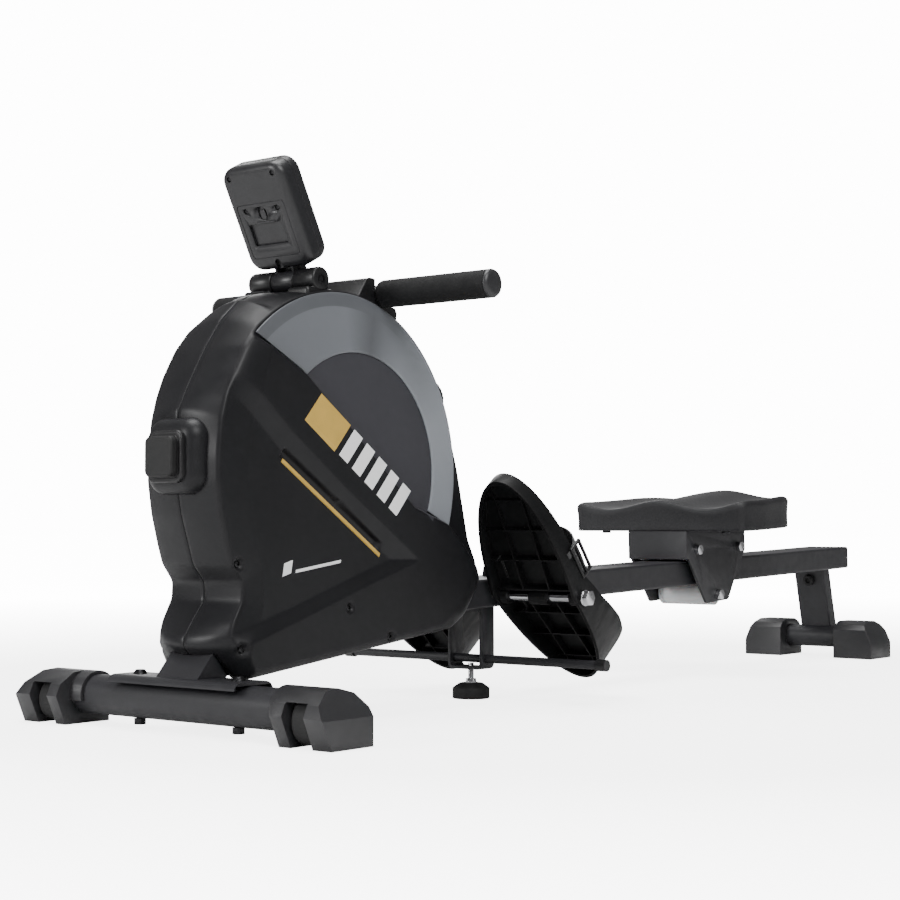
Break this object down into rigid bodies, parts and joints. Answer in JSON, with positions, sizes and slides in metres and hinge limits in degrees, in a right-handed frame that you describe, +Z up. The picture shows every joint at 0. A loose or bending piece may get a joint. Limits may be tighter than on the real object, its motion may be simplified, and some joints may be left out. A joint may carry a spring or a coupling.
{
  "type": "rowing machine",
  "caption": "Magnetic rowing machine with a cased flywheel, pull handle, tilting console, pivoting strapped pedals and a seat that rolls on an inclined rail.",
  "frame": {"origin": "on the floor under the middle of the machine's bounding box", "axes": "+X towards the seat end, +Y to the rower's right, +Z up"},
  "size_m": [1.723, 0.5194, 0.708],
  "materials": {
    "powder": "fine-textured satin powder coat",
    "black_plastic": "fine-grained moulded plastic",
    "console_plastic": "satin moulded plastic",
    "casing": "satin charcoal moulded plastic",
    "crescent": "smooth grey inlay film",
    "gold": "satin gold trim",
    "chrome": "bright plated",
    "steel": "drawn steel",
    "black_screw": "black oxide",
    "cast_iron": "turned",
    "rubber": "matte",
    "roller_nylon": "translucent white nylon",
    "foam": "closed-cell foam grip",
    "cap_plastic": "moulded",
    "webbing": "woven webbing",
    "seat_skin": "moulded polyurethane skin with fine grain",
    "board": "plywood painted underneath",
    "screen": "grey liquid-crystal window"
  },
  "bodies": {
    "frame": {"front_stabilizer_tube": "powder", "front_cap_left": "black_plastic", "front_cap_right": "black_plastic", "wheel_axles": "steel", "saddle_bolts": "chrome", "main_frame": "powder", "drive_axles": "steel", "drive_belt": "rubber", "cover_left": "casing", "cover_right": "casing", "cover_screws": "black_screw", "crescent_trim_left": "crescent", "crescent_trim_right": "crescent", "accent_strips": "gold", "storage_bumper": "black_plastic", "handle_holder": "black_plastic", "console_bracket": "black_plastic", "console_hinge_pin": "steel", "seat_rail": "powder", "rail_end_cap": "black_plastic", "seat_stops": "rubber", "center_bracket": "powder", "heel_rod": "powder", "heel_rod_caps": "black_plastic", "pedal_axle": "chrome", "pedal_axle_bolts": "chrome", "rear_post": "powder", "rear_stabilizer_tube": "powder", "rear_cap_left": "black_plastic", "rear_cap_right": "black_plastic"},
    "transport_wheel_left": {"transport_wheel_left": "rubber"},
    "transport_wheel_right": {"transport_wheel_right": "rubber"},
    "flywheel": {"flywheel": "cast_iron"},
    "drive_pulley": {"drive_pulley": "black_plastic"},
    "strap_drum": {"strap_drum": "black_plastic"},
    "tension_knob": {"tension_knob": "black_plastic"},
    "magnet_bracket": {"magnet_bracket": "powder"},
    "handle": {"handle_bar": "steel", "handle_grips": "foam", "handle_end_caps": "cap_plastic", "pull_strap": "webbing"},
    "console": {"console_rear_shell": "console_plastic", "battery_cover": "console_plastic", "console_front_shell": "console_plastic", "console_screen": "screen"},
    "console_button": {"console_button": "console_plastic"},
    "leveling_foot": {"leveling_foot": "rubber", "leveling_stud": "chrome"},
    "pedal_left": {"pedal_left": "black_plastic", "pedal_strap_left": "webbing"},
    "pedal_right": {"pedal_right": "black_plastic", "pedal_strap_right": "webbing"},
    "seat": {"seat_pad": "seat_skin", "seat_board": "board", "seat_screws": "black_screw", "seat_carriage": "powder", "roller_bolts": "chrome"},
    "front_roller": {"front_roller": "roller_nylon"},
    "rear_roller": {"rear_roller": "roller_nylon"},
    "lower_roller": {"lower_roller": "roller_nylon"}
  },
  "joints": [
    {"name": "transport_left_spin", "type": "hinge", "parent": "frame", "child": "transport_wheel_left", "pos_m": [-0.8215, -0.2155, 0.0295], "axis": [0, 1, 0], "continuous": true},
    {"name": "transport_right_spin", "type": "hinge", "parent": "frame", "child": "transport_wheel_right", "pos_m": [-0.8215, 0.2155, 0.0295], "axis": [0, 1, 0], "continuous": true},
    {"name": "flywheel_spin", "type": "hinge", "parent": "frame", "child": "flywheel", "pos_m": [-0.6245, 0, 0.3], "axis": [0, 1, 0], "continuous": true},
    {"name": "pulley_spin", "type": "hinge", "parent": "frame", "child": "drive_pulley", "pos_m": [-0.4915, 0, 0.372], "axis": [0, 1, 0], "continuous": true},
    {"name": "handle_pull", "type": "slide", "parent": "frame", "child": "handle", "axis": [1, 0, 0], "range_m": [0, 0.9], "stiffness_N_per_m": 12, "springref_m": -0.4},
    {"name": "drum_spin", "type": "hinge", "parent": "frame", "child": "strap_drum", "pos_m": [-0.4915, 0, 0.372], "axis": [0, 1, 0], "range_deg": [-1, 1779]},
    {"name": "tension_turn", "type": "hinge", "parent": "frame", "child": "tension_knob", "pos_m": [-0.39681, 0, 0.41057], "axis": [0.9063, 0, 0.4226], "range_deg": [0, 270]},
    {"name": "magnet_swing", "type": "hinge", "parent": "frame", "child": "magnet_bracket", "pos_m": [-0.7375, 0, 0.365], "axis": [0, -1, 0], "range_deg": [-0.5, 6]},
    {"name": "console_tilt", "type": "hinge", "parent": "frame", "child": "console", "pos_m": [-0.6395, 0, 0.5556], "axis": [0, 1, 0], "range_deg": [-25, 20]},
    {"name": "button_press", "type": "slide", "parent": "console", "child": "console_button", "axis": [-0.8854, 0, -0.4648], "range_m": [0, 0.0015], "stiffness_N_per_m": 400},
    {"name": "foot_turn", "type": "hinge", "parent": "frame", "child": "leveling_foot", "pos_m": [-0.2585, 0, 0.02], "axis": [0, 0, 1], "continuous": true},
    {"name": "pedal_left_pivot", "type": "hinge", "parent": "frame", "child": "pedal_left", "pos_m": [-0.2575, -0.122, 0.147], "axis": [0, 1, 0], "range_deg": [-12, 13]},
    {"name": "pedal_right_pivot", "type": "hinge", "parent": "frame", "child": "pedal_right", "pos_m": [-0.2575, 0.122, 0.147], "axis": [0, 1, 0], "range_deg": [-12, 13]},
    {"name": "seat_slide", "type": "slide", "parent": "frame", "child": "seat", "axis": [0.9995, 0, 0.0307], "range_m": [-0.43, 0.41]},
    {"name": "front_roller_spin", "type": "hinge", "parent": "seat", "child": "front_roller", "pos_m": [0.27695, 0, 0.20593], "axis": [0, 1, 0], "range_deg": [-1400, 1400]},
    {"name": "rear_roller_spin", "type": "hinge", "parent": "seat", "child": "rear_roller", "pos_m": [0.41289, 0, 0.21011], "axis": [0, 1, 0], "range_deg": [-1400, 1400]},
    {"name": "lower_roller_spin", "type": "hinge", "parent": "seat", "child": "lower_roller", "pos_m": [0.3453, 0, 0.1306], "axis": [0, 1, 0], "range_deg": [-1400, 1400]}
  ],
  "couplings": [
    {"joint": "pulley_spin", "follows": "flywheel_spin", "ratio": 0.30303},
    {"joint": "drum_spin", "follows": "handle_pull", "rad_per_m": 34.483},
    {"joint": "magnet_swing", "follows": "tension_turn", "ratio": 0.022222},
    {"joint": "front_roller_spin", "follows": "seat_slide", "rad_per_m": 54.054},
    {"joint": "rear_roller_spin", "follows": "seat_slide", "rad_per_m": 54.054},
    {"joint": "lower_roller_spin", "follows": "seat_slide", "rad_per_m": -55.249}
  ]
}
